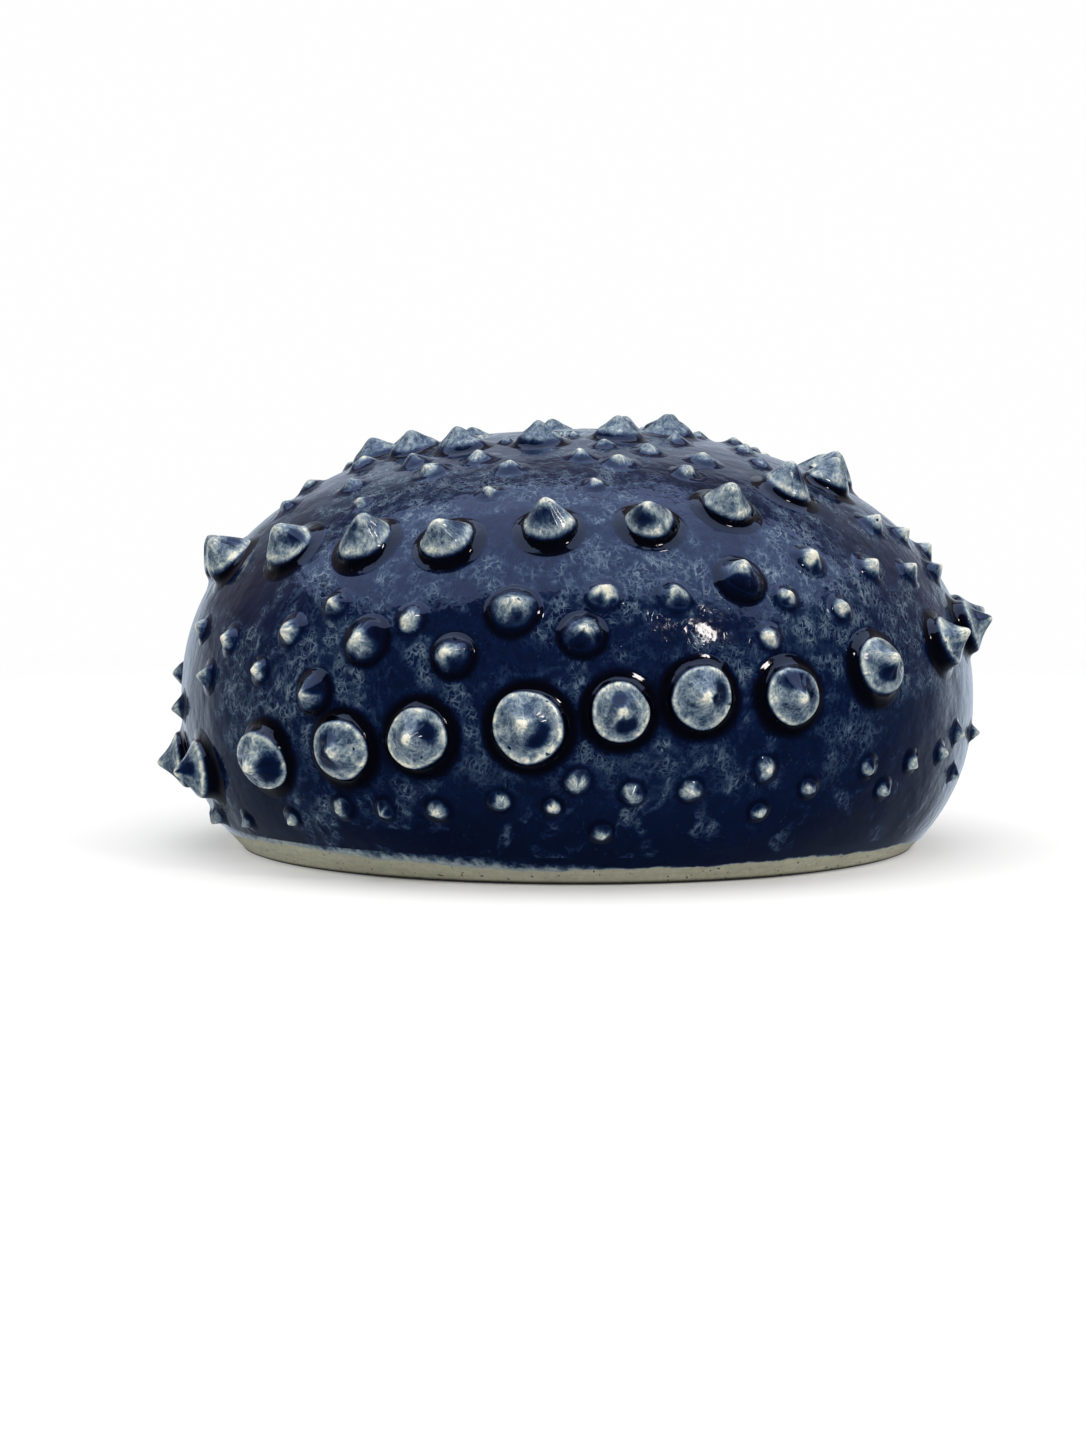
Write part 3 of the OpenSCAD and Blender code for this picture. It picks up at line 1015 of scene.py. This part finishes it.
def bare_clay():
    material = new_material("bare_clay")
    above = value_on_points("above_line") + (noise(320, 4, 0.65) - 0.5) * 1.3
    glazed = above.between(-0.12, 0.22)
    streak = (noise(700, 3, 0.6) - 0.5) * 1.6 * above.between(0, 0.6)
    thin = (above / value_on_points("fringe") + streak).between(0.0, 1.2, 0.84, 0.22)
    grain = noise(900, 4, 0.7)
    squashed = Wire.grow("Mapping", {}, {0: place(), 3: (0.10, 0.10, 1.0)})
    rings = noise(1500, 3, 0.6, at=squashed)
    glaze = glaze_colour(thin + (noise(420, 2) - 0.5) * 0.12)
    colour = mixed(glazed, clay_colour(grain, rings), glaze)
    # Painted shade: the lowest millimetre of the foot goes nearly black, a contact shadow where it meets
    # the table.
    painted_contact_shadow = axis_of(place(), 2).between(0.3 * MM, 0.9 * MM, 0.95, 0.0)
    colour = mixed(painted_contact_shadow, colour, (0.012, 0.010, 0.006, 1))
    roughness = DULL + glazed * (GLOSSY - DULL)
    rough_clay = grain * 0.10 + rings * 0.16 + noise(2200, 2) * 0.04
    surface(colour, roughness, (1 - glazed) * rough_clay + glazed * GLAZE_STEP)
    return material


# %% Glazing every piece
def wear(piece, material):
    piece.data.materials.clear()
    piece.data.materials.append(material)


wear(dome, cobalt_glaze())
wear(slab, bare_clay())
tubercle_finish = tubercle_glaze()
for row in tubercles:
    wear(row, tubercle_finish)
print("materials:", sorted(m.name for m in bpy.data.materials if m.users))

# %% [markdown]
# ## Floor, light and camera
#
# The pot stands on a plain white table that fades into the white of the room. Part of the table's white is
# a painted glow, stronger beside the pot, that lightens the shadows there. Light that falls
# on glaze is seen twice, as the colour inside it and as the mirror on top, so the two are lit
# apart here, with cards and flags as in a studio. Soft lights that the glaze doesn't mirror
# bring out its colours. A wide cool panel overhead is only there to be mirrored: it gives
# the sheen on the crown and shoulder, and it ends in a clear line where the belly turns away from
# it. A small window gives the bright glints.

# %% The table
TABLE_R = 1.2
put_down()
bpy.ops.mesh.primitive_circle_add(vertices=96, radius=TABLE_R, fill_type="NGON")
table = bpy.context.object
table.name = "table"
table_finish = new_material("table_white")
across, along = axis_of(place(), 0), axis_of(place(), 1)
from_pot = (across * across + along * along) ** 0.5
beside = across.size() / from_pot
# Painted light: the table partly glows, a twentieth of it in front of the pot and a third beside it, to
# lighten its shadows on the sides.
matt = Wire.grow("BsdfDiffuse", {}, {"Color": (0.92, 0.92, 0.92, 1)})
painted_glow = Wire.grow("Emission", {}, {"Color": (1, 1, 1, 1), "Strength": 1.0})
lit_with_painted_glow = Wire.grow("MixShader", {}, {0: beside.between(0.45, 0.95, 0.05, 0.34), 1: matt, 2: painted_glow})
clear = Wire.grow("BsdfTransparent")
faded = Wire.grow("MixShader", {}, {0: from_pot.between(0.16, 0.5), 1: lit_with_painted_glow, 2: clear})
Wire.grow("OutputMaterial", {}, {0: faded})
wear(table, table_finish)
table.visible_glossy = False

# %% [markdown]
# The room is a world that answers each kind of ray with its own brightness. The camera sees
# white. Colours are lit softly from above. The mirror sees a dark room in front of the pot, so
# that the belly stays deep, and a pale wall low behind it, which shows at the flanks. The wall is
# brighter where the glaze is seen at a glance, a little brighter to the right, and dimmer high up
# at the sides.

# %% The room
EYE_WHITE = 0.993
DARK_FRONT, DIM_BACK = 0.03, 0.15
WALL, WALL_AT_A_GLANCE = 0.52, 0.29
GREY_MAUVE, SKY_BLUE, PALE_BLUE = (0.98, 0.86, 0.95, 1), (0.72, 0.82, 1.0, 1), (0.74, 0.85, 1.0, 1)


def wall_behind(across, back, high, aside, raised):
    wall = across.size().between(0.55, 0.95, 1.0, 0.0) * back.between(-0.1, 0.5)
    wall = wall * high.between(0.56, 0.68, 1.0, 0.0) * high.between(-0.48, -0.10)
    wall = wall * (WALL + WALL_AT_A_GLANCE * (aside * back.between(0.6, 0.95)))
    wall = wall * (1 - 0.74 * aside * raised)
    return wall * (1 + 0.30 * across.between(0.0, 0.4) * (1 - raised))


def make_room():
    world = bpy.data.worlds.new("room")
    bpy.context.scene.world = world
    world.use_nodes = True
    Wire.tree = world.node_tree
    Wire.tree.nodes.clear()
    way = Wire.grow("TexCoord")
    across, back, high = (axis_of(way, axis) for axis in range(3))
    aside, raised = across.size().between(0.10, 0.36), high.between(0.0, 0.20)
    wall = wall_behind(across, back, high, aside, raised)
    mirrored = DARK_FRONT + DIM_BACK * back.between(-0.2, 0.6) * (1 - 0.5 * aside * raised) + wall
    diffuse = 0.24 + 0.42 * high.between(0.2, 0.9)
    is_eye, is_diffuse = Wire.grow("LightPath", out=0), Wire.grow("LightPath", out=2)
    unseen = is_diffuse * diffuse + (1 - is_diffuse) * mirrored
    cool = mixed(raised, PALE_BLUE, mixed(wall.between(0.0, 0.3), GREY_MAUVE, SKY_BLUE))
    tint = mixed(is_eye.larger(is_diffuse), cool, (1, 1, 1, 1))
    strength = is_eye * EYE_WHITE + (1 - is_eye) * unseen
    light = Wire.grow("Background", {}, {"Color": tint, "Strength": strength})
    Wire.grow("OutputWorld", {}, {0: light})


make_room()
print("room nodes:", len(bpy.context.scene.world.node_tree.nodes))


# %% The lights
def soft_light(name, at, aim, size, radiance, tint, mirrored=True, shines=True):
    """An area light whose strength is given as the brightness of its face."""
    light = bpy.data.lights.new(name, "AREA")
    light.shape, (light.size, light.size_y) = "RECTANGLE", size
    light.energy = radiance * math.pi * size[0] * size[1]
    light.color = tint
    lamp = bpy.data.objects.new(name, light)
    bpy.context.scene.collection.objects.link(lamp)
    lamp.location = at
    lamp.rotation_euler = (Vector(aim) - Vector(at)).to_track_quat("-Z", "Y").to_euler()
    lamp.visible_glossy = mirrored
    lamp.visible_diffuse = shines


soft_light("overhead_panel", (0, 0.04, 0.85), (0, 0.04, 0), (2.0, 0.98), 1.5, (0.45, 0.59, 1), shines=False)
soft_light("small_window", (0.55, -0.62, 0.72), (0, 0, 0.04), (0.16, 0.13), 26, (1, 0.93, 0.90))
soft_light("front_card", (0, -1.1, 0.7), (0, 0, 0.03), (0.9, 0.7), 1.9, (1, 0.99, 0.97), mirrored=False)
soft_light("top_fill", (0, 0, 1.0), (0, 0, 0), (1.5, 1.5), 1.40, (1, 1, 0.99), mirrored=False)

# %% The camera
DOWN, TO_THE_LEFT = 5.085, 0.46  # degrees
camera = bpy.data.objects.new("camera", bpy.data.cameras.new("camera"))
bpy.context.scene.collection.objects.link(camera)
camera.data.sensor_width = 36
camera.data.lens = 105.6
camera.location = (0, -0.750, 0.088)
camera.rotation_euler = (math.radians(90 - DOWN), 0, math.radians(TO_THE_LEFT))
bpy.context.scene.camera = camera
bpy.context.scene.view_settings.view_transform = "Standard"
